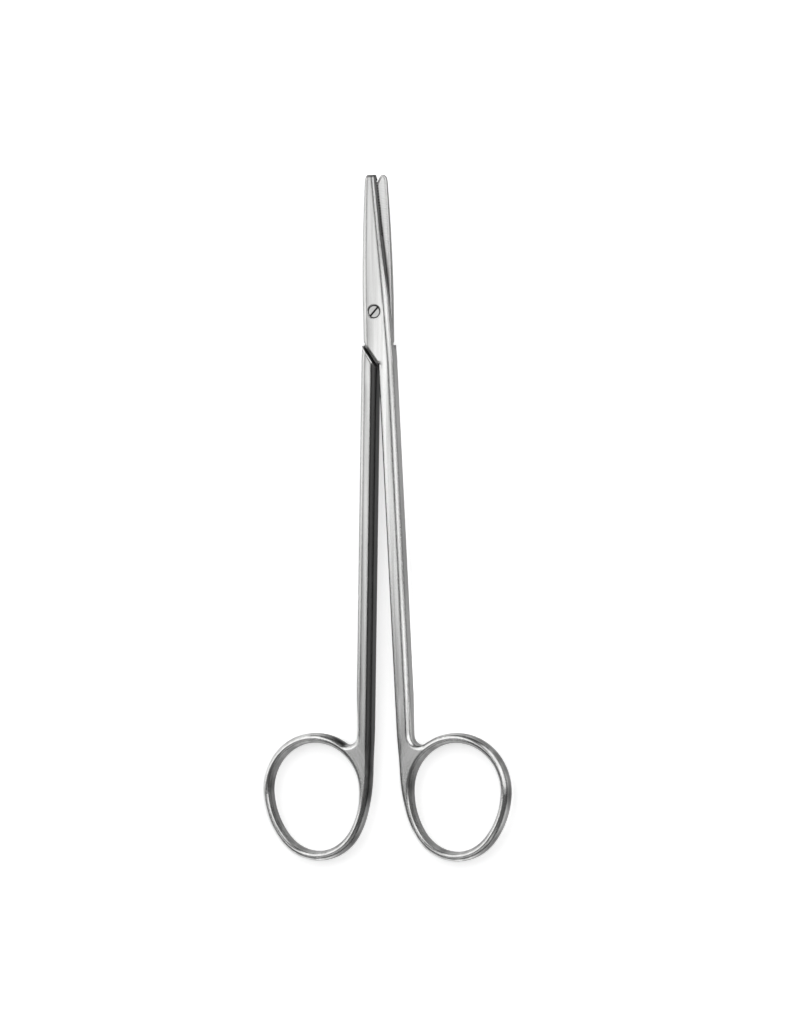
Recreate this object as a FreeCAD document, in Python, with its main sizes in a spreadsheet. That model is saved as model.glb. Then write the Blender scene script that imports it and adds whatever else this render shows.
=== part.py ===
import FreeCAD, Part
import math
import os
import re

import Sketcher

# Straight dissecting scissors: two forged halves that cross in a lap joint, and the screw they turn on.
# Each half is drawn in its own frame: tip towards +Y, blade at -X, shank and ring at +X, and Z = 0 on
# the lap plane in the middle of the stock. The lower half is the same forging turned over.
# In the finished part the pivot axis is Z and the scissors lie on the plane Z = 0.

doc = FreeCAD.newDocument("DissectingScissors")
sizes = doc.addObject("Spreadsheet::Sheet", "Sizes")

SIZES = [
    ("stock_thickness", "4.2", "joint, shank and ring, top face to bottom face"),
    ("lap_gap", "0.06", "running gap between the two lap faces"),
    ("rest_turn", "1.1", "degrees that each half is turned from closed, as the scissors lie"),
    ("screw_offset", "0.35", "the screw sits this far to the left of the middle line"),
    # shank
    ("heel", "13.4", "where the shank begins, behind the pivot"),
    ("flank_gap", "0.06", "closed shanks stand this far off the middle line at the heel"),
    ("flank_splay", "0.9", "degrees that a shank runs outwards"),
    ("shank_width", "4.2", "between the flanks of a shank"),
    ("bevel_drop", "0.6", "height of the long bevels on shank and ring"),
    ("shank_round", "0.3", "rounding of the walls along the shank"),
    ("ring_round", "1.8", "rounding of the walls of the ring, which leaves it an oval section"),
    ("round_run", "12", "length of flank over which the rounding grows from shank to ring"),
    ("opening_ease", "0.8", "second bevel of the finger opening, between its first bevel and its wall"),
    # ring, an egg of four arcs
    ("ring_radius", "12.5", "upper half of the finger opening"),
    ("ring_side_radius", "19.3", "long sides of the finger opening"),
    ("ring_end_radius", "10.8", "lower end of the finger opening"),
    ("ring_band", "2.6", "metal between the opening and the outside of the ring"),
    ("crest_flat", "0.2", "flat left on the crest of the ring between its two bevels"),
    ("ring_step", "0.82", "the near side of the ring stands this far outside the line of the flank"),
    ("ring_back", "125.5", "centre of the opening behind the pivot"),
    ("ring_lean", "4.75", "degrees that the ring leans towards the middle line"),
    ("blend_radius", "45", "sweep from the straight flank into the ring"),
    ("valley_radius", "2.4", "fillet between the shank and the top of the ring"),
    # joint
    ("joint_station", "4", "where the joint ends and the blade begins, ahead of the pivot"),
    ("joint_back", "3.7", "blade back to the middle line where the blade begins"),
    ("joint_edge", "3.38", "cutting side to the middle line where the blade begins"),
    ("heel_back", "3.95", "blade back to the middle line at the heel"),
    ("shoulder_angle", "35", "degrees between the shoulder and the middle line"),
    ("shoulder_gap", "0.75", "gap at the shoulder with the scissors closed"),
    # blade, halfway and at the tip
    ("middle_station", "16", "blade section halfway, ahead of the pivot"),
    ("middle_back", "3.33", "blade back to the middle line"),
    ("middle_edge", "2.45", "cutting edge to the middle line"),
    ("middle_height", "1.8", "thickness of one blade"),
    ("middle_back_bevel", "1.1", "width of the bevel along the back"),
    ("middle_back_drop", "0.55", "height of the bevel along the back"),
    ("middle_hollow", "0.4", "how far the ground bevel stands back above the edge"),
    ("middle_edge_bevel", "0.8", "width of the narrow bevel above it"),
    ("middle_edge_drop", "0.4", "height of the narrow bevel above it"),
    ("tip_station", "35.7", "end of the blade, ahead of the pivot"),
    ("tip_back", "2.15", "blade back to the middle line"),
    ("tip_edge", "1.0", "cutting edge to the middle line"),
    ("tip_height", "1.2", "thickness of one blade"),
    ("tip_back_bevel", "0.75", "width of the bevel along the back"),
    ("tip_back_drop", "0.45", "height of the bevel along the back"),
    ("tip_hollow", "0.65", "how far the ground bevel stands back above the edge"),
    ("tip_edge_bevel", "0.5", "width of the narrow bevel above it"),
    ("tip_edge_drop", "0.28", "height of the narrow bevel above it"),
    ("tip_back_inset", "0.9", "rounding of the tip at the back, across"),
    ("tip_back_run", "1.6", "rounding of the tip at the back, along"),
    ("upper_edge_inset", "0.35", "rounding of the upper tip at the cutting edge, across"),
    ("upper_edge_run", "2.6", "rounding of the upper tip at the cutting edge, along"),
    ("lower_edge_inset", "1.8", "rounding of the lower tip at the cutting edge, across"),
    ("lower_edge_run", "6.5", "rounding of the lower tip at the cutting edge, along"),
    ("tip_ease", "0.02", "the roundings start this far outside the blade, so that they leave no step"),
    # serration
    ("tooth_pitch", "0.74", "from tooth to tooth"),
    ("tooth_depth", "0.42", "depth of a notch, square to the edge"),
    ("tooth_mouth", "0.56", "width of a notch at the edge"),
    ("tooth_run_out", "0.45", "the file runs this far out of the edge"),
    ("tooth_start", "1.7", "first notch behind the tip"),
    ("tooth_count", "20", "notches in the cutting edge of the upper half"),
    # screw
    ("stem_radius", "1.2", "stem of the screw"),
    ("stem_fit", "0.01", "stem to the bore of the lower half, where it is fixed"),
    ("running_fit", "0.04", "stem to the bore of the upper half, which turns on it"),
    ("head_radius", "1.62", "head of the screw"),
    ("head_height", "0.9", "head of the screw"),
    ("head_fit", "0.1", "head to the wall of its recess"),
    ("seat_fit", "0.03", "head to the floor of its recess"),
    ("head_edge", "0.1", "bevel round the head"),
    ("slot_width", "0.48", "slot for the driver"),
    ("slot_depth", "0.45", "slot for the driver"),
    ("slot_turn", "46", "degrees from X to the slot"),
    ("cutter_reach", "8", "outlines of cuts run this far past the metal"),
    # worked out from the above
    ("half_stock", "=stock_thickness / 2", "lap plane to a face"),
    ("bevel_width", "=(ring_band - crest_flat) / 2", "two bevels leave the crest on the ring"),
    ("heel_edge", "=flank_gap + shank_width / cos(flank_splay)", "outer flank at the heel"),
    ("ring_out", "=flank_gap + (ring_back - heel) * tan(flank_splay) + ring_step + ring_band + ring_radius",
     "centre of the opening from the middle line"),
    ("ring_spread", "=ring_side_radius - ring_radius", "side arc centre to the centre of the opening"),
    ("side_x", "=ring_spread * cos(ring_lean)", "the same, across"),
    ("side_y", "=ring_spread * sin(ring_lean)", "the same, along"),
    ("back_slope", "=(middle_back - tip_back) / (tip_station - middle_station)", "taper of the back"),
    ("edge_slope", "=(middle_edge - tip_edge) / (tip_station - middle_station)", "taper of the edge"),
    ("shoulder_slope", "=1 / tan(shoulder_angle)", "shoulder, along for each mm across"),
    ("shoulder_step", "=shoulder_gap / sin(shoulder_angle)", "shoulder gap, measured along"),
]

for row, (alias, content, meaning) in enumerate(SIZES, start=1):
    sizes.set("A%d" % row, alias)
    sizes.set("B%d" % row, content)
    sizes.setAlias("B%d" % row, alias)
    sizes.set("C%d" % row, meaning)
doc.recompute()

ALIASES = re.compile(r"\b(%s)\b" % "|".join(alias for alias, content, meaning in SIZES))


def size(alias):
    return float(sizes.get(alias))


def sheet(formula):
    return ALIASES.sub(r"Sizes.\1", formula)


# Sketching: the points of an edge, and helpers that tie a sketch to the sheet

START, END, CENTRE = 1, 2, 3


def new_sketch(body, name, role):
    sketch = body.newObject("Sketcher::SketchObject", name)
    plane = next(feature for feature in body.Origin.OriginFeatures if feature.Role == role)
    sketch.AttachmentSupport = [(plane, "")]
    sketch.MapMode = "FlatFace"
    return sketch


def dimension(sketch, kind, parts, value, formula):
    index = sketch.addConstraint(Sketcher.Constraint(kind, *parts, value))
    sketch.setExpression("Constraints[%d]" % index, sheet(formula))


def pin(sketch, element, point, at, x_formula=None, y_formula=None):
    if x_formula:
        dimension(sketch, "DistanceX", (-1, 1, element, point), at.x, x_formula)
    if y_formula:
        dimension(sketch, "DistanceY", (-1, 1, element, point), at.y, y_formula)


def polygon(sketch, corners):
    # every corner is pinned to the sheet by two formulas, and starts out on a circle
    count = len(corners)
    turns = [2 * math.pi * number / count for number in range(count)]
    places = [FreeCAD.Vector(math.cos(turn), math.sin(turn), 0) for turn in turns]
    for number, place in enumerate(places):
        sketch.addGeometry(Part.LineSegment(place, places[(number + 1) % count]))
    for number in range(count):
        sketch.addConstraint(Sketcher.Constraint("Coincident", number, END, (number + 1) % count, START))
    for number, (x_formula, y_formula) in enumerate(corners):
        pin(sketch, number, START, places[number], x_formula, y_formula)


def arc(centre, start, end):
    # counter-clockwise from start to end
    spoke = start - centre
    other = end - centre
    circle = Part.Circle(centre, FreeCAD.Vector(0, 0, 1), spoke.Length)
    return Part.ArcOfCircle(circle, math.atan2(spoke.y, spoke.x), math.atan2(other.y, other.x))


def toward(start, end, length):
    return start + (end - start).normalize() * length


# The bow: one outline for shank and ring, with the finger opening cut through it

def egg_centres():
    lean = math.radians(size("ring_lean"))
    centre = FreeCAD.Vector(size("ring_out"), -size("ring_back"), 0)
    across = FreeCAD.Vector(math.cos(lean), -math.sin(lean), 0)
    along = FreeCAD.Vector(-math.sin(lean), -math.cos(lean), 0)
    spread = size("ring_spread")
    reach = size("ring_side_radius") - size("ring_end_radius")
    near = centre + across * spread
    far = centre - across * spread
    end = centre + along * math.sqrt(reach ** 2 - spread ** 2)
    return centre, near, far, end, across


def bow_outline(sketch):
    centre, near, far, end, across = egg_centres()
    band = size("ring_band")
    top_radius = size("ring_radius") + band
    side_radius = size("ring_side_radius") + band
    end_radius = size("ring_end_radius") + band
    splay = math.radians(size("flank_splay"))
    down = FreeCAD.Vector(math.sin(splay), -math.cos(splay), 0)
    out = FreeCAD.Vector(math.cos(splay), math.sin(splay), 0)
    inner_heel = FreeCAD.Vector(size("flank_gap"), -size("heel"), 0)
    outer_heel = FreeCAD.Vector(size("heel_edge"), -size("heel"), 0)

    # the sweep from the flank into the near side of the ring
    blend = size("blend_radius")
    depth = (near - inner_heel).dot(out)
    drop = math.sqrt((blend - side_radius) ** 2 - (blend - depth) ** 2)
    flank_end = inner_heel + down * ((near - inner_heel).dot(down) - drop)
    sweep = flank_end + out * blend
    # the valley between the outer flank and the top of the ring
    valley = size("valley_radius")
    stand = size("shank_width") + valley
    depth = (centre - inner_heel).dot(out) - stand
    drop = math.sqrt((top_radius + valley) ** 2 - depth ** 2)
    hollow = inner_heel + out * stand + down * ((centre - inner_heel).dot(down) - drop)

    on_near = toward(sweep, near, blend)
    near_end = toward(near, end, side_radius)
    end_far = toward(far, end, side_radius)
    far_top = centre + across * top_radius
    top_valley = toward(centre, hollow, top_radius)
    valley_flank = hollow - out * valley
    # each flank is split where the rounding of its wall begins to grow
    inner_mark = flank_end - down * size("round_run")
    outer_mark = valley_flank - down * size("round_run")

    sketch.addGeometry([
        Part.LineSegment(outer_heel, inner_heel),
        Part.LineSegment(inner_heel, inner_mark),
        Part.LineSegment(inner_mark, flank_end),
        arc(sweep, flank_end, on_near),
        arc(near, on_near, near_end),
        arc(end, near_end, end_far),
        arc(far, end_far, far_top),
        arc(centre, far_top, top_valley),
        arc(hollow, valley_flank, top_valley),
        Part.LineSegment(valley_flank, outer_mark),
        Part.LineSegment(outer_mark, outer_heel),
    ])
    heel, flank, flank_foot, blend_arc, near_arc, end_arc, far_arc, top_arc = range(8)
    valley_arc, outer_foot, outer = range(8, 11)
    for joint in ((heel, END, flank, START), (outer, END, heel, START)):
        sketch.addConstraint(Sketcher.Constraint("Coincident", *joint))
    for joint in ((flank, END, flank_foot, START), (flank_foot, END, blend_arc, START),
                  (blend_arc, END, near_arc, START),
                  (near_arc, END, end_arc, START), (end_arc, END, far_arc, START),
                  (far_arc, END, top_arc, START), (top_arc, END, valley_arc, END),
                  (valley_arc, START, outer_foot, START), (outer_foot, END, outer, START)):
        sketch.addConstraint(Sketcher.Constraint("Tangent", *joint))
    sketch.addConstraint(Sketcher.Constraint("Parallel", flank, outer))
    pin(sketch, flank, START, inner_heel, "flank_gap", "-heel")
    pin(sketch, outer, END, outer_heel, "heel_edge", "-heel")
    dimension(sketch, "Angle", (flank,), splay - math.pi / 2, "(flank_splay - 90) * 1 deg")
    for number in (flank_foot, outer_foot):
        dimension(sketch, "Distance", (number,), size("round_run"), "round_run")
    for number, value, formula in ((blend_arc, blend, "blend_radius"),
                                   (near_arc, side_radius, "ring_side_radius + ring_band"),
                                   (end_arc, end_radius, "ring_end_radius + ring_band"),
                                   (far_arc, side_radius, "ring_side_radius + ring_band"),
                                   (top_arc, top_radius, "ring_radius + ring_band"),
                                   (valley_arc, valley, "valley_radius")):
        dimension(sketch, "Radius", (number,), value, formula)
    pin(sketch, top_arc, CENTRE, centre, "ring_out", "-ring_back")
    pin(sketch, near_arc, CENTRE, near, "ring_out + side_x", "-ring_back - side_y")
    pin(sketch, far_arc, CENTRE, far, None, "-ring_back + side_y")


def opening_outline(sketch):
    centre, near, far, end, across = egg_centres()
    top_radius = size("ring_radius")
    side_radius = size("ring_side_radius")
    near_top = centre - across * top_radius
    far_top = centre + across * top_radius
    near_end = toward(near, end, side_radius)
    end_far = toward(far, end, side_radius)
    sketch.addGeometry([
        arc(centre, far_top, near_top),
        arc(near, near_top, near_end),
        arc(end, near_end, end_far),
        arc(far, end_far, far_top),
    ])
    radii = (("ring_radius", top_radius), ("ring_side_radius", side_radius),
             ("ring_end_radius", size("ring_end_radius")), ("ring_side_radius", side_radius))
    for number, (alias, value) in enumerate(radii):
        sketch.addConstraint(Sketcher.Constraint("Tangent", number, END, (number + 1) % 4, START))
        dimension(sketch, "Radius", (number,), value, alias)
    pin(sketch, 0, CENTRE, centre, "ring_out", "-ring_back")
    pin(sketch, 1, CENTRE, near, None, "-ring_back - side_y")
    pin(sketch, 3, CENTRE, far, None, "-ring_back + side_y")


# The blade: a loft through four sections, each one pinned to the sheet

def section(body, name, station, back, back_bevel, back_drop, edge, stand, bevel, drop, height):
    sketch = new_sketch(body, name, "XZ_Plane")
    sketch.setExpression("AttachmentOffset.Base.z", sheet("-(%s)" % station))
    above = [
        ("-%s" % back, "%s - %s" % (height, back_drop)),
        ("-%s + %s" % (back, back_bevel), height),
        ("%s - %s - %s" % (edge, stand, bevel), height),
        ("%s - %s" % (edge, stand), "%s - %s" % (height, drop)),
    ]
    below = [(x, "-(%s)" % z) for x, z in reversed(above)]
    polygon(sketch, [("-%s" % back, "0")] + above + [(edge, "0")] + below)
    return sketch


def joint_and_blade(body):
    heel = section(body, "HeelSection", "-heel", "heel_back", "bevel_width", "bevel_drop",
                   "heel_edge", "0", "bevel_width / cos(flank_splay)", "bevel_drop", "half_stock")
    joint = section(body, "JointSection", "joint_station", "joint_back", "bevel_width", "bevel_drop",
                    "joint_edge", "0", "bevel_width", "bevel_drop", "half_stock")
    middle = section(body, "MiddleSection", "middle_station", "middle_back", "middle_back_bevel",
                     "middle_back_drop", "middle_edge", "middle_hollow", "middle_edge_bevel",
                     "middle_edge_drop", "middle_height")
    tip = section(body, "TipSection", "tip_station", "tip_back", "tip_back_bevel", "tip_back_drop",
                  "tip_edge", "tip_hollow", "tip_edge_bevel", "tip_edge_drop", "tip_height")
    for name, first, others in (("Joint", heel, [joint]), ("Blade", joint, [middle, tip])):
        loft = body.newObject("PartDesign::AdditiveLoft", name)
        loft.Profile = first
        loft.Sections = others
        doc.recompute()


def cut(body, name, sketch, depth=None, refine=True):
    # a pocket right through, or below its sketch as deep as the formula says
    before = body.Shape.Volume
    pocket = body.newObject("PartDesign::Pocket", name)
    pocket.Refine = refine
    pocket.Profile = sketch
    if depth:
        pocket.Type = "Length"
        pocket.setExpression("Length", sheet(depth))
    else:
        pocket.Type = "ThroughAll"
        pocket.Midplane = True
    doc.recompute()
    if not pocket.Shape.Volume < before:
        raise RuntimeError("%s cuts nothing" % name)
    return pocket


def long_edges(shape, outline, level):
    # the edges at a height above and below the lap plane that run along an outline, without the heel
    found = []
    for number, edge in enumerate(shape.Edges, start=1):
        box = edge.BoundBox
        across = abs(box.YMin + size("heel")) < 1e-6 and box.YLength < 1e-6
        if abs(abs(box.ZMin) - level) < 1e-6 and box.ZLength < 1e-6 and not across:
            middle = edge.valueAt((edge.FirstParameter + edge.LastParameter) / 2)
            below = Part.Vertex(middle.x, middle.y, 0)
            if outline.Shape.distToShape(below)[0] < 1e-6:
                found.append((number, edge))
    if not found:
        raise RuntimeError("no edges along %s" % outline.Label)
    return found


def bevel(body, name, base, outline, level, first, second):
    chamfer = body.newObject("PartDesign::Chamfer", name)
    chamfer.Refine = False
    edges = long_edges(base.Shape, outline, level)
    chamfer.Base = (base, ["Edge%d" % number for number, edge in edges])
    chamfer.ChamferType = "Two distances"
    chamfer.setExpression("Size", sheet(first))
    chamfer.setExpression("Size2", sheet(second))
    doc.recompute()
    return chamfer


def wall_round(point):
    # little along the shank, and full where the ring begins
    ring_top = size("ring_back") - size("ring_radius") - size("ring_band")
    return size("ring_round" if point.y < -ring_top else "shank_round")


def forged_bow():
    body = doc.addObject("PartDesign::Body", "Bow")
    outline = new_sketch(body, "BowOutline", "XY_Plane")
    bow_outline(outline)
    pad = body.newObject("PartDesign::Pad", "Stock")
    pad.Profile = outline
    pad.Refine = False
    pad.Midplane = True
    pad.setExpression("Length", sheet("stock_thickness"))
    doc.recompute()
    face = size("half_stock")
    wall = face - size("bevel_drop")
    bevel(body, "LongBevels", pad, outline, face, "bevel_drop", "bevel_width")
    opening = new_sketch(body, "OpeningOutline", "XY_Plane")
    opening_outline(opening)
    ring = cut(body, "FingerOpening", opening, refine=False)
    crest = bevel(body, "OpeningBevels", ring, opening, face, "bevel_width", "bevel_drop")
    bevel(body, "OpeningEase", crest, opening, wall, "opening_ease", "opening_ease")
    rounded = doc.addObject("Part::Fillet", "RoundedBow")
    rounded.Base = body
    rounds = []
    for number, edge in long_edges(body.Shape, outline, wall):
        ends = [wall_round(edge.valueAt(at)) for at in (edge.FirstParameter, edge.LastParameter)]
        rounds.append((number, ends[0], ends[1]))
    rounded.Edges = rounds
    doc.recompute()
    return rounded


def lap(body):
    # the corner behind the blade comes off along the shoulder angle, through both faces
    corner = new_sketch(body, "CornerOutline", "XY_Plane")
    polygon(corner, [
        ("flank_gap", "-heel"),
        ("-cutter_reach", "-heel + (cutter_reach + flank_gap) * shoulder_slope"),
        ("-cutter_reach", "-heel - cutter_reach"),
        ("flank_gap", "-heel - cutter_reach"),
    ])
    cut(body, "Corner", corner)
    # below the lap plane the metal begins only behind the shoulder, which faces the other half's corner
    shoulder = new_sketch(body, "LapOutline", "XY_Plane")
    shoulder.setExpression("AttachmentOffset.Base.z", sheet("lap_gap / 2"))
    polygon(shoulder, [
        ("-cutter_reach", "-heel + (flank_gap - cutter_reach) * shoulder_slope - shoulder_step"),
        ("cutter_reach", "-heel + (flank_gap + cutter_reach) * shoulder_slope - shoulder_step"),
        ("cutter_reach", "tip_station + cutter_reach"),
        ("-cutter_reach", "tip_station + cutter_reach"),
    ])
    cut(body, "Lap", shoulder, "half_stock + lap_gap")


def rounded_corner(body, name, side, slope, inset, run):
    # what lies outside a corner of the tip: from the blade an arc turns in by inset over the length of run
    across = "tip_back" if side < 0 else "tip_edge"
    sign = "-" if side < 0 else ""
    edge, inward, along = size(across), size(inset), size(run)
    end, reach = size("tip_station"), size("cutter_reach")
    radius = (inward ** 2 + along ** 2) / (2 * inward)
    arc_radius = "(%s ^ 2 + %s ^ 2) / (2 * %s)" % (inset, run, inset)
    outside = "%s(%s + %s * %s + tip_ease)" % (sign, across, run, slope)
    inside = "%s(%s - %s)" % (sign, across, inset)
    low = FreeCAD.Vector(side * (edge + along * size(slope) + size("tip_ease")), end - along, 0)
    high = FreeCAD.Vector(side * (edge - inward), end, 0)
    far = FreeCAD.Vector(side * reach, end + reach, 0)
    centre = low - FreeCAD.Vector(side * radius, 0, 0)
    sketch = new_sketch(body, name + "Outline", "XY_Plane")
    first, last = (low, high) if side > 0 else (high, low)
    low_end, high_end = (START, END) if side > 0 else (END, START)
    sketch.addGeometry([
        arc(centre, first, last),
        Part.LineSegment(high, FreeCAD.Vector(high.x, far.y, 0)),
        Part.LineSegment(FreeCAD.Vector(high.x, far.y, 0), far),
        Part.LineSegment(far, FreeCAD.Vector(far.x, low.y, 0)),
        Part.LineSegment(FreeCAD.Vector(far.x, low.y, 0), low),
    ])
    for joint in ((0, high_end, 1, START), (1, END, 2, START), (2, END, 3, START), (3, END, 4, START),
                  (4, END, 0, low_end)):
        sketch.addConstraint(Sketcher.Constraint("Coincident", *joint))
    for number, kind in ((1, "Vertical"), (2, "Horizontal"), (3, "Vertical"), (4, "Horizontal")):
        sketch.addConstraint(Sketcher.Constraint(kind, number))
    dimension(sketch, "Radius", (0,), radius, arc_radius)
    pin(sketch, 0, low_end, low, outside, "tip_station - %s" % run)
    pin(sketch, 0, high_end, high, inside, "tip_station")
    pin(sketch, 2, END, far, "%scutter_reach" % sign, "tip_station + cutter_reach")
    cut(body, name, sketch)


def tip(body, edge_inset, edge_run):
    rounded_corner(body, "TipBack", -1, "back_slope", "tip_back_inset", "tip_back_run")
    rounded_corner(body, "TipEdge", 1, "edge_slope", edge_inset, edge_run)


def bore(body, name, across, radius, depth=None):
    # a round hole on the pivot axis, right through or sunk from the top face
    sketch = new_sketch(body, name + "Outline", "XY_Plane")
    place = FreeCAD.Vector(size("screw_offset"), 0, 0)
    sketch.addGeometry(Part.Circle(place, FreeCAD.Vector(0, 0, 1), size("stem_radius")))
    pin(sketch, 0, CENTRE, place, across, "0")
    dimension(sketch, "Radius", (0,), size("stem_radius"), radius)
    if depth:
        sketch.setExpression("AttachmentOffset.Base.z", sheet("half_stock"))
    cut(body, name, sketch, depth)


def serration(body):
    # one notch square to the cutting edge, repeated along it from the tip backwards
    sketch = new_sketch(body, "NotchOutline", "XY_Plane")
    sketch.setExpression("AttachmentOffset.Base.x", sheet("tip_edge"))
    sketch.setExpression("AttachmentOffset.Base.y", sheet("tip_station"))
    sketch.setExpression("AttachmentOffset.Rotation.Angle", sheet("atan(edge_slope)"))
    mouth = "tooth_mouth / 2 * (1 + tooth_run_out / tooth_depth)"
    polygon(sketch, [
        ("-tooth_depth", "-tooth_start"),
        ("tooth_run_out", "-tooth_start - %s" % mouth),
        ("tooth_run_out", "-tooth_start + %s" % mouth),
    ])
    notch = cut(body, "Notch", sketch)
    pattern = body.newObject("PartDesign::LinearPattern", "Serration")
    pattern.Originals = [notch]
    pattern.Direction = (sketch, ["V_Axis"])
    pattern.Reversed = True
    pattern.setExpression("Length", sheet("tooth_pitch * (tooth_count - 1)"))
    pattern.setExpression("Occurrences", sheet("tooth_count"))
    body.Tip = pattern
    doc.recompute()


def half(name, edge_inset, edge_run):
    body = doc.addObject("PartDesign::Body", name)
    body.Label = name
    body.BaseFeature = rounded_bow
    joint_and_blade(body)
    lap(body)
    tip(body, edge_inset, edge_run)
    return body


def lay_down(body, turn, turned_over):
    # the half turns on the screw, whose axis is the origin, and lies on the plane Z = 0
    over = FreeCAD.Rotation(FreeCAD.Vector(0, 1, 0), 180 if turned_over else 0)
    rotation = FreeCAD.Rotation(FreeCAD.Vector(0, 0, 1), turn).multiply(over)
    across = size("screw_offset") if turned_over else -size("screw_offset")
    axis = rotation.multVec(FreeCAD.Vector(across, 0, 0))
    body.Placement = FreeCAD.Placement(FreeCAD.Vector(0, 0, size("half_stock")) - axis, rotation)


# Both halves start from the same forging for shank and ring
rounded_bow = forged_bow()

# The upper half: serrated blade, and the screw head sunk flush in its top face
upper_half = half("upper_half", "upper_edge_inset", "upper_edge_run")
serration(upper_half)
bore(upper_half, "StemBore", "-screw_offset", "stem_radius + running_fit")
bore(upper_half, "HeadRecess", "-screw_offset", "head_radius + head_fit", "head_height + seat_fit")
lay_down(upper_half, size("rest_turn"), False)

# The lower half: plain edge, and the bore that holds the screw
lower_half = half("lower_half", "lower_edge_inset", "lower_edge_run")
bore(lower_half, "StemBore", "screw_offset", "stem_radius + stem_fit")
lay_down(lower_half, -size("rest_turn"), True)

# The screw: turned stem and head, and a slot sawn across the head
pivot_screw = doc.addObject("PartDesign::Body", "pivot_screw")
pivot_screw.Label = "pivot_screw"
profile = new_sketch(pivot_screw, "ScrewProfile", "XZ_Plane")
polygon(profile, [
    ("0", "0"),
    ("stem_radius", "0"),
    ("stem_radius", "stock_thickness - head_height"),
    ("head_radius", "stock_thickness - head_height"),
    ("head_radius", "stock_thickness - head_edge"),
    ("head_radius - head_edge", "stock_thickness"),
    ("0", "stock_thickness"),
])
turned = pivot_screw.newObject("PartDesign::Revolution", "Turned")
turned.Profile = profile
turned.ReferenceAxis = (profile, ["V_Axis"])
turned.Angle = 360
doc.recompute()
slot = new_sketch(pivot_screw, "SlotOutline", "XY_Plane")
slot.setExpression("AttachmentOffset.Base.z", sheet("stock_thickness"))
slot.setExpression("AttachmentOffset.Rotation.Angle", sheet("slot_turn"))
polygon(slot, [
    ("-cutter_reach", "-slot_width / 2"),
    ("cutter_reach", "-slot_width / 2"),
    ("cutter_reach", "slot_width / 2"),
    ("-cutter_reach", "slot_width / 2"),
])
cut(pivot_screw, "Slot", slot, "slot_depth")

# Check and write every piece
doc.recompute()
pieces = (lower_half, upper_half, pivot_screw)
for item in doc.Objects:
    if "Invalid" in item.State or "Error" in item.State:
        raise RuntimeError("%s failed: %s" % (item.Label, item.State))
for piece in pieces:
    if piece.Shape.isNull() or not piece.Shape.isValid() or len(piece.Shape.Solids) != 1:
        raise RuntimeError("%s is not one valid solid" % piece.Label)
os.makedirs("parts", exist_ok=True)
for piece in pieces:
    piece.Shape.exportStep("parts/%s.step" % piece.Label)
    print(piece.Label, round(piece.Shape.Volume, 3), piece.Shape.BoundBox)
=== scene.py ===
import math

import bpy
from mathutils import Matrix, Vector


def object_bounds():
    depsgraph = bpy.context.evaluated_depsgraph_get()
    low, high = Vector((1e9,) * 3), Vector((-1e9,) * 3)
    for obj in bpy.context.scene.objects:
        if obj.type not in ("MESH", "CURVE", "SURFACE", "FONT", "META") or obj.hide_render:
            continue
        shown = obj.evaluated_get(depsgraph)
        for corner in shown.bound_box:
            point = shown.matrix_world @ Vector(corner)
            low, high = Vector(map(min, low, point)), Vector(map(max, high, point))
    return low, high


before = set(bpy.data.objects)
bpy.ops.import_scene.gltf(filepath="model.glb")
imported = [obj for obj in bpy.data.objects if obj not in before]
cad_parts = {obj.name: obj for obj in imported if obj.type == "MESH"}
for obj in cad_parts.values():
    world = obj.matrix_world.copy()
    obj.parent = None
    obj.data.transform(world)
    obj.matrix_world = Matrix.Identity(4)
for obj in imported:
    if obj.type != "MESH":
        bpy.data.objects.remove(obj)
cad_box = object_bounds()


# LOWER HALF
# One steel forging: the right blade, the lower lap of the joint, the left shank and the left ring.
# It is milled, bevelled and polished with fine belts that run lengthwise and round the ring, and the
# inner face of the blade is ground crosswise.

def add(tree, kind, inputs=None, **settings):
    # one node, each of its inputs set to a plain value or linked
    node = tree.nodes.new(kind)
    for key, value in settings.items():
        setattr(node, key, value)
    for key, value in (inputs or {}).items():
        if isinstance(value, bpy.types.NodeSocket):
            tree.links.new(value, node.inputs[key])
        else:
            node.inputs[key].default_value = value
    return node


def maths(tree, operation, *values):
    return add(tree, "ShaderNodeMath", dict(enumerate(values)), operation=operation).outputs[0]


def chain(tree, operation, first, *others):
    total = first
    for value in others:
        total = maths(tree, operation, total, value)
    return total


def product(tree, *values):
    return chain(tree, "MULTIPLY", *values)


def greatest(tree, *values):
    return chain(tree, "MAXIMUM", *values)


def dimmed(tree, amount, share=1.0):
    # 1 where amount is 0, and less by share where it is 1
    return maths(tree, "MULTIPLY_ADD", amount, -share, 1.0)


def only_where(tree, mask, factor):
    # factor where mask is 1, and 1 where it is 0
    return maths(tree, "MULTIPLY_ADD", mask, maths(tree, "SUBTRACT", factor, 1.0), 1.0)


def reach_of(tree, a, b):
    # length of the line whose two sides are a and b
    return maths(tree, "SQRT", maths(tree, "ADD", maths(tree, "POWER", a, 2.0), maths(tree, "POWER", b, 2.0)))


def ramp(tree, value, start, end, low=0.0, high=1.0, course="LINEAR"):
    # low at start, high at end, and level beyond them
    return add(tree, "ShaderNodeMapRange", {"Value": value, "From Min": start, "From Max": end,
                                            "To Min": low, "To Max": high},
               interpolation_type=course).outputs[0]


def band(tree, value, low, high, soft):
    # 1 between low and high, fading to 0 over soft on either side
    rise = ramp(tree, value, low - soft, low, course="SMOOTHSTEP")
    fall = ramp(tree, value, high, high + soft, 1.0, 0.0, course="SMOOTHSTEP")
    return product(tree, rise, fall)


def point(tree, a, b, c):
    return add(tree, "ShaderNodeCombineXYZ", {0: a, 1: b, 2: c}).outputs[0]


def noise(tree, where, detail, scale=1.0):
    return add(tree, "ShaderNodeTexNoise", {"Vector": where, "Scale": scale, "Detail": detail}).outputs["Fac"]


def between(tree, factor, first, second):
    # first where factor is 0, and second where it is 1
    return add(tree, "ShaderNodeMix", {"Factor": factor, "A": first, "B": second},
               data_type="FLOAT").outputs["Result"]


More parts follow.
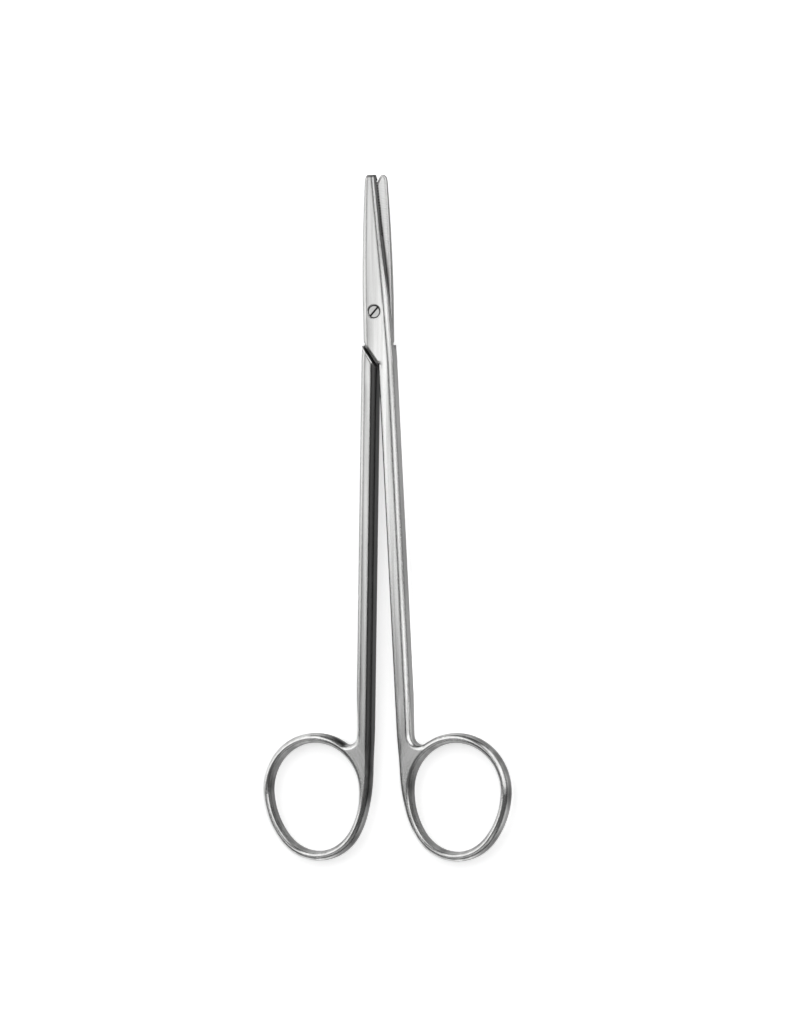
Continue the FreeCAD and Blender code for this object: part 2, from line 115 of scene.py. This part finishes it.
def colour_between(tree, factor, first, second):
    return add(tree, "ShaderNodeMix", {"Factor": factor, "A": first, "B": second},
               data_type="RGBA").outputs[2]


left_side, ring_end, underside = cad_box[0]
right_side, tip, thickness = cad_box[1]
ring_to_side = 0.0151
ring_to_end = 0.0185
ring_from_end = ring_end + ring_to_end
lap_gap = 0.00006

# finishes that set in slowly: the place where each begins, and the place where it is full
ring_edge = (0.019, 0.0165)
screw_edge = (0.0034, 0.0024)
shank_start = (-0.0128, -0.0140)
near_the_ring = (-0.05, -0.09)
near_the_joint = (-0.085, -0.045)
ring_bend = (-0.114, -0.130)
blade_start = (-0.018, -0.006)
cut_end = (tip - 0.0008, tip - 0.0003)
shank_across = (-0.0009, 0.0007)
blade_across = (-0.0034, 0.001)

# stretches of the length with a finish of their own, from the lowest y to the highest
shank_face = (-0.097, -0.021)
shank_flank = (-0.110, -0.016)
notches = (0.014, tip - 0.0014)
beside_notches = (0.010, tip - 0.0014)

polished = (0.52, 0.52, 0.515, 1)
well_polished = (0.72, 0.72, 0.715, 1)
# bright steel for worn edges, and for the painted highlight along the crest of the ring
wear_and_highlight_bright = (0.78, 0.78, 0.775, 1)


def forged_steel(name, ring, shank, inner_face, shaded_dull_side, is_upper):
    # ring: middle of the finger opening; shank: the line along its middle, as its place at the pivot and
    # its lean; inner_face: height of the ground face that meets the other blade; shaded_dull_side: 1 paints
    # shade on the flank that faces the right shank and dulls its gloss; is_upper: 1 for the half with the
    # notches and the cut end
    material = bpy.data.materials.new(name)
    material.use_nodes = True
    tree = material.node_tree
    steel = tree.nodes["Principled BSDF"]
    steel.inputs["Metallic"].default_value = 1.0

    # where a point lies, seen from the ring, the screw, the line of the shank and the middle height
    place = add(tree, "ShaderNodeTexCoord")
    x, y, z = add(tree, "ShaderNodeSeparateXYZ", {0: place.outputs["Object"]}).outputs
    from_ring_x = maths(tree, "SUBTRACT", x, ring[0])
    from_ring_y = maths(tree, "SUBTRACT", y, ring[1])
    from_ring = reach_of(tree, from_ring_x, from_ring_y)
    turn = maths(tree, "ARCTAN2", from_ring_y, from_ring_x)
    on_ring = ramp(tree, from_ring, *ring_edge, course="SMOOTHSTEP")
    round_screw = ramp(tree, reach_of(tree, x, y), *screw_edge)
    from_line = maths(tree, "SUBTRACT", maths(tree, "SUBTRACT", x, shank[0]), product(tree, y, shank[1]))
    from_middle = maths(tree, "ABSOLUTE", maths(tree, "SUBTRACT", z, thickness / 2))

    # which way the surface faces there
    to_right, to_back, to_top = add(tree, "ShaderNodeSeparateXYZ", {0: place.outputs["Normal"]}).outputs
    level = maths(tree, "ABSOLUTE", to_top)
    flat_face = maths(tree, "GREATER_THAN", level, 0.95)
    bevel_face = product(tree, band(tree, level, 0.55, 0.93, 0.03), dimmed(tree, on_ring))
    wall = ramp(tree, level, 0.15, 0.8, 1.0, 0.0)
    inward = maths(tree, "DIVIDE", maths(tree, "ADD", product(tree, from_ring_x, to_right),
                                         product(tree, from_ring_y, to_back)), from_ring)
    faces_opening = ramp(tree, inward, -0.15, -0.5)

    # belt marks: along the shank and the blade, and round the ring
    belt_across = 3600.0
    belt_along = 55.0
    belt_round = 2.0
    fine_x = product(tree, x, belt_across)
    fine_z = product(tree, z, belt_across)
    fine_radius = product(tree, from_ring, belt_across)
    slow_turn = product(tree, maths(tree, "COSINE", turn), belt_round)
    long_marks = noise(tree, point(tree, fine_x, product(tree, y, belt_along), fine_z), 4.0)
    ring_marks = noise(tree, point(tree, fine_radius, slow_turn, fine_z), 4.0)
    belt = between(tree, on_ring, long_marks, ring_marks)

    # wheel marks: nearly square to the edge, on the inner face of the blade
    wheel_along = 260.0
    wheel_across = 3400.0
    wheel_slant = 0.35
    ridge_slant = 0.2
    ridge_pitch = 0.00064
    ground_depth = 0.00012
    slanted = product(tree, maths(tree, "MULTIPLY_ADD", x, wheel_slant, y), wheel_across)
    wheel_marks = noise(tree, point(tree, product(tree, x, wheel_along), slanted, 0.0), 3.0)
    along_ridges = product(tree, maths(tree, "MULTIPLY_ADD", x, ridge_slant, y), 2 * math.pi / ridge_pitch)
    wheel = maths(tree, "MULTIPLY_ADD", maths(tree, "SINE", along_ridges), 0.16, wheel_marks)
    ground = product(tree, flat_face, band(tree, z, inner_face - ground_depth, inner_face + ground_depth,
                                           0.00008))
    marks = between(tree, ground, belt, wheel)

    # painted shade: the colour is darkened on the walls and beside the notches, and more so on the inside of
    # the ring, the flank that faces the other shank, the notches and the cut end, which are also duller in
    # gloss
    depth_in_ring = ramp(tree, from_middle, 0.00205, 0.001, 0.05, 0.55)
    opening_shade = product(tree, faces_opening, on_ring, depth_in_ring)
    flank = ramp(tree, to_right, 0.15, 0.4, 0.0, shaded_dull_side)
    gap_shade = product(tree, flank, ramp(tree, y, *ring_bend, 1.0, 0.3), ramp(tree, y, *shank_start),
                     dimmed(tree, faces_opening))
    notch_side = maths(tree, "GREATER_THAN", maths(tree, "ABSOLUTE", to_back), 0.5)
    notch_shade = product(tree, band(tree, y, *notches, 0.004), is_upper, notch_side)
    cut_end_shade = ramp(tree, y, *cut_end, 0.0, is_upper)
    shade_and_dull = greatest(tree, opening_shade, gap_shade, notch_shade, cut_end_shade)
    tooth_wall_shade = product(tree, band(tree, y, *beside_notches, 0.006), is_upper,
                         maths(tree, "GREATER_THAN", to_right, 0.5))
    # painted shade on the walls and recesses, multiplied into the colour
    painted_shade = product(tree, dimmed(tree, shade_and_dull, 0.72), dimmed(tree, wall, 0.62),
                      dimmed(tree, gap_shade, 0.55), dimmed(tree, notch_shade, 0.8),
                      dimmed(tree, tooth_wall_shade, 0.5))

    # edges: a thin dark line of painted reflection where two grinds meet at a shallow angle, sharper edges
    # worn bright, a painted highlight along the crest of the ring, and painted shade at the foot where an
    # edge meets a wall
    soft_edge = 0.0011
    crisp_edge = 0.0006
    crest_height = 0.00204
    edge_radius = ramp(tree, greatest(tree, on_ring, round_screw), 0.0, 1.0, soft_edge, crisp_edge)
    rounded = add(tree, "ShaderNodeBevel", {"Radius": edge_radius}, samples=8).outputs[0]
    unrounded = add(tree, "ShaderNodeNewGeometry").outputs["Normal"]
    turned = add(tree, "ShaderNodeVectorMath", {0: rounded, 1: unrounded},
                 operation="DOT_PRODUCT").outputs["Value"]
    at_edge = ramp(tree, turned, 0.965, 0.9)
    crest_highlight = product(tree, on_ring, maths(tree, "GREATER_THAN", from_middle, crest_height))
    inner_flank = product(tree, maths(tree, "LESS_THAN", from_line, 0.0),
                          band(tree, y, *shank_flank, 0.004), is_upper)
    line_depth = maths(tree, "SUBTRACT", ramp(tree, y, *near_the_ring, 0.68, 0.86),
                       product(tree, on_ring, 0.68))
    painted_edge_line = product(tree, band(tree, turned, 0.966, 0.989, 0.006), line_depth,
                         dimmed(tree, inner_flank))
    foot_shade = product(tree, wall, at_edge, ramp(tree, on_ring, 0.0, 1.0, 0.6, 0.1))
    painted_edge_shade = product(tree, dimmed(tree, painted_edge_line), dimmed(tree, foot_shade))

    # uneven polish round the sides of the ring, and lines on the ground face
    patches_round = 1.9
    patches_across = 90.0
    patch_place = point(tree, product(tree, maths(tree, "COSINE", turn), patches_round),
                        product(tree, maths(tree, "SINE", turn), patches_round),
                        product(tree, from_ring, patches_across))
    patch = ramp(tree, noise(tree, patch_place, 1.0), 0.38, 0.62, 0.62, 0.0)
    uneven_ring = dimmed(tree, product(tree, patch, ramp(tree, level, 0.85, 0.5), on_ring))
    ground_lines = maths(tree, "MULTIPLY_ADD", product(tree, ground, maths(tree, "SUBTRACT", wheel, 0.5)),
                         0.35, 1.0)

    # painted shade and light, as if the faces were polished a little hollow: the blade and the stretch of
    # shank near the ring are darker towards the left, and the bevels that face right are painted lighter near
    # the ring
    higher = ramp(tree, y, *near_the_joint, 0.0, is_upper)
    left_tone = ramp(tree, higher, 0.0, 1.0, 0.66, 0.99)
    right_tone = ramp(tree, higher, 0.0, 1.0, 1.05, 0.88)
    shank_shading = ramp(tree, from_line, *shank_across, left_tone, right_tone)
    blade_shading = ramp(tree, x, *blade_across, 0.5, 0.98)
    on_shank_face = product(tree, band(tree, y, *shank_face, 0.006), flat_face)
    on_blade_face = product(tree, ramp(tree, y, *blade_start), flat_face)
    # painted light: bevels that face right are brightened towards the ring
    lit_bevel = product(tree, bevel_face, maths(tree, "GREATER_THAN", to_right, 0.0),
                        ramp(tree, y, *near_the_ring, 0.0, 0.45))
    painted_face_shading = product(tree, only_where(tree, on_shank_face, shank_shading),
                           only_where(tree, on_blade_face, blade_shading), maths(tree, "ADD", 1.0, lit_bevel))

    # colour: streaks run the length of the faces
    streaks_across = 520.0
    streaks_along = 18.0
    streak_place = point(tree, product(tree, x, streaks_across), product(tree, y, streaks_along), 0.0)
    streaks = ramp(tree, noise(tree, streak_place, 3.0), 0.33, 0.67)
    # edges are lightened as wear, and the crest of the ring gets a painted highlight
    bright = colour_between(tree, greatest(tree, at_edge, crest_highlight),
                            colour_between(tree, streaks, polished, well_polished), wear_and_highlight_bright)
    tone = product(tree, painted_shade, painted_edge_shade, uneven_ring, ground_lines, painted_face_shading)
    toned = add(tree, "ShaderNodeVectorMath", {0: bright, "Scale": tone}, operation="SCALE").outputs[0]
    tree.links.new(toned, steel.inputs["Base Color"])

    # gloss: the marks break it up, handling leaves cloudy patches, and ground steel and the places with
    # painted shade are duller
    clouds = noise(tree, place.outputs["Object"], 3.0, scale=110.0)
    grain = maths(tree, "MULTIPLY_ADD", maths(tree, "SUBTRACT", marks, 0.5), 0.22, 0.22)
    cloudy = product(tree, maths(tree, "SUBTRACT", clouds, 0.5), 0.08)
    duller = product(tree, greatest(tree, ground, shade_and_dull), 0.12)
    tree.links.new(chain(tree, "ADD", grain, cloudy, duller), steel.inputs["Roughness"])
    scratches = add(tree, "ShaderNodeBump", {"Strength": 0.14, "Distance": 0.00002, "Height": marks,
                                             "Normal": rounded})
    tree.links.new(scratches.outputs[0], steel.inputs["Normal"])
    return material


def dress(node, material):
    node.data.materials.clear()
    node.data.materials.append(material)


lower_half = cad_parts["lower_half"]
left_ring = (left_side + ring_to_side, ring_from_end)
left_shank = (-0.0016, 0.035)
dress(lower_half, forged_steel("satin_steel_lower", left_ring, left_shank, (thickness - lap_gap) / 2,
                               shaded_dull_side=1.0, is_upper=0.0))


# PIVOT SCREW
# A turned steel screw with a flat head, sunk flush in the upper half and fixed in the lower one.
# Its head shows fine rings from the lathe, and its driver slot and the gap round its rim are painted
# near-black as shade.

screw_steel = (0.46, 0.46, 0.455, 1)
# near-black for painted shade in the driver slot and the gap round the rim
slot_and_rim_shade = (0.05, 0.05, 0.05, 1)
head_rim = (0.00138, 0.00152)
head_depth = 0.0015
rings_across = 9000.0


def turned_steel(name, top):
    # top: height of the head's flat face
    material = bpy.data.materials.new(name)
    material.use_nodes = True
    tree = material.node_tree
    steel = tree.nodes["Principled BSDF"]
    steel.inputs["Metallic"].default_value = 1.0
    place = add(tree, "ShaderNodeTexCoord")
    x, y, z = add(tree, "ShaderNodeSeparateXYZ", {0: place.outputs["Object"]}).outputs
    radius = reach_of(tree, x, y)
    in_slot = ramp(tree, z, top - 0.00005, top - 0.0003)
    at_rim = ramp(tree, radius, *head_rim)
    in_head = maths(tree, "GREATER_THAN", z, top - head_depth)
    # painted shade: near-black in the driver slot and in the gap round the head's rim
    painted_recess_shade = product(tree, in_head, greatest(tree, in_slot, at_rim))
    tree.links.new(colour_between(tree, painted_recess_shade, screw_steel, slot_and_rim_shade), steel.inputs["Base Color"])
    lathe = add(tree, "ShaderNodeTexNoise", {"W": product(tree, radius, rings_across), "Scale": 1.0,
                                             "Detail": 2.0}, noise_dimensions="1D").outputs["Fac"]
    tree.links.new(maths(tree, "MULTIPLY_ADD", lathe, 0.16, 0.2), steel.inputs["Roughness"])
    rounded = add(tree, "ShaderNodeBevel", {"Radius": 0.0001}, samples=8).outputs[0]
    rings = add(tree, "ShaderNodeBump", {"Strength": 0.3, "Distance": 0.00001, "Height": lathe,
                                         "Normal": rounded})
    tree.links.new(rings.outputs[0], steel.inputs["Normal"])
    return material


pivot_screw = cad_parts["pivot_screw"]
dress(pivot_screw, turned_steel("turned_steel_screw", thickness))


# UPPER HALF
# The matching forging: the left blade with its serrated edge, the upper lap, the right shank and ring.
# It has the same belt finish as the lower half, and its notches are filed square to the edge.

upper_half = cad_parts["upper_half"]
right_ring = (right_side - ring_to_side, ring_from_end)
right_shank = (0.0023, -0.035)
dress(upper_half, forged_steel("satin_steel_upper", right_ring, right_shank, (thickness + lap_gap) / 2,
                               shaded_dull_side=0.0, is_upper=1.0))


# FLOOR, LIGHT AND CAMERA
# The scissors lie on a plain white sheet under soft boxes on either side and a low one at the ring end.
# A long lens looks down from a little to the right. The sheet also glows, but only for the camera, in
# reflections and through clear things, so it shows white and its shadows stay.

half_sheet = 3.0
sheet_height = underside - 0.00002
sheet_glow = 0.55
floor = bpy.data.objects.new("white_sheet", bpy.data.meshes.new("white_sheet"))
floor.data.from_pydata([(-half_sheet, -half_sheet, sheet_height), (half_sheet, -half_sheet, sheet_height),
                        (half_sheet, half_sheet, sheet_height), (-half_sheet, half_sheet, sheet_height)],
                       [], [(0, 1, 2, 3)])
bpy.context.scene.collection.objects.link(floor)
white_paper = bpy.data.materials.new("white_paper")
white_paper.use_nodes = True
sheet = white_paper.node_tree
paper = sheet.nodes["Principled BSDF"]
paper.inputs["Base Color"].default_value = (0.97, 0.97, 0.97, 1)
paper.inputs["Roughness"].default_value = 0.9
paper.inputs["Specular IOR Level"].default_value = 0.1
rays = add(sheet, "ShaderNodeLightPath").outputs
seen = greatest(sheet, rays["Is Camera Ray"], rays["Is Glossy Ray"], rays["Is Transmission Ray"])
glow = add(sheet, "ShaderNodeEmission", {"Strength": product(sheet, seen, sheet_glow)})
both = add(sheet, "ShaderNodeAddShader", {0: paper.outputs[0], 1: glow.outputs[0]})
sheet.links.new(both.outputs[0], sheet.nodes["Material Output"].inputs["Surface"])
floor.data.materials.append(white_paper)


def soft_box(name, toward, along, reach, width, length, glow):
    # toward: where it stands, seen from the scissors; along: how far it is then moved along them;
    # width: its tilted side; length: its level side; glow: brightness of its cloth
    data = bpy.data.lights.new(name, "AREA")
    data.shape = "RECTANGLE"
    data.size = length
    data.size_y = width
    data.energy = glow * math.pi * width * length
    lamp = bpy.data.objects.new(name, data)
    away = Vector(toward).normalized()
    stand = Matrix.Translation(away * reach + Vector((0, along, 0)))
    lamp.matrix_world = stand @ away.to_track_quat("Z", "Y").to_matrix().to_4x4()
    bpy.context.scene.collection.objects.link(lamp)


soft_box("left_soft_box", toward=(-1.04, 0, 1), along=0.53, reach=0.7, width=1.09, length=1.3, glow=1.35)
soft_box("right_soft_box", toward=(0.97, 0, 1), along=0.53, reach=0.7, width=0.68, length=1.3, glow=1.45)
soft_box("near_soft_box", toward=(0, -1, 0.65), along=0, reach=1.2, width=0.5, length=1.6, glow=0.6)

world = bpy.data.worlds.new("studio")
bpy.context.scene.world = world
world.use_nodes = True
world.node_tree.nodes["Background"].inputs["Color"].default_value = (0.12, 0.12, 0.12, 1)

picture_width = 791
picture_height = 1024
pixels_in_a_metre = 3833
pivot_across = 374.0
pivot_down = 311.7
lean_right = math.radians(24)
lean_back = math.radians(-1)
roll = math.radians(-1)
distance = 2.4
film_width = 36
to_camera = Vector((math.sin(lean_right) * math.cos(lean_back), -math.sin(lean_back),
                    math.cos(lean_right) * math.cos(lean_back)))
level_right = Vector((math.cos(lean_right), 0, -math.sin(lean_right)))
level_up = to_camera.cross(level_right)
right = level_right * math.cos(roll) + level_up * math.sin(roll)
up = level_up * math.cos(roll) - level_right * math.sin(roll)
sideways = (picture_width / 2 - pivot_across) / pixels_in_a_metre
upwards = (pivot_down - picture_height / 2) / pixels_in_a_metre
middle = Vector((0, 0, thickness)) + right * sideways + up * upwards
lens = bpy.data.cameras.new("camera")
lens.sensor_width = film_width
lens.lens = film_width * distance * pixels_in_a_metre / picture_height
lens.clip_start = 0.1
lens.clip_end = 20
camera = bpy.data.objects.new("camera", lens)
facing = Matrix((right, up, to_camera)).transposed()
camera.matrix_world = Matrix.Translation(middle + to_camera * distance) @ facing.to_4x4()
bpy.context.scene.collection.objects.link(camera)
bpy.context.scene.camera = camera
bpy.context.scene.view_settings.view_transform = "Standard"
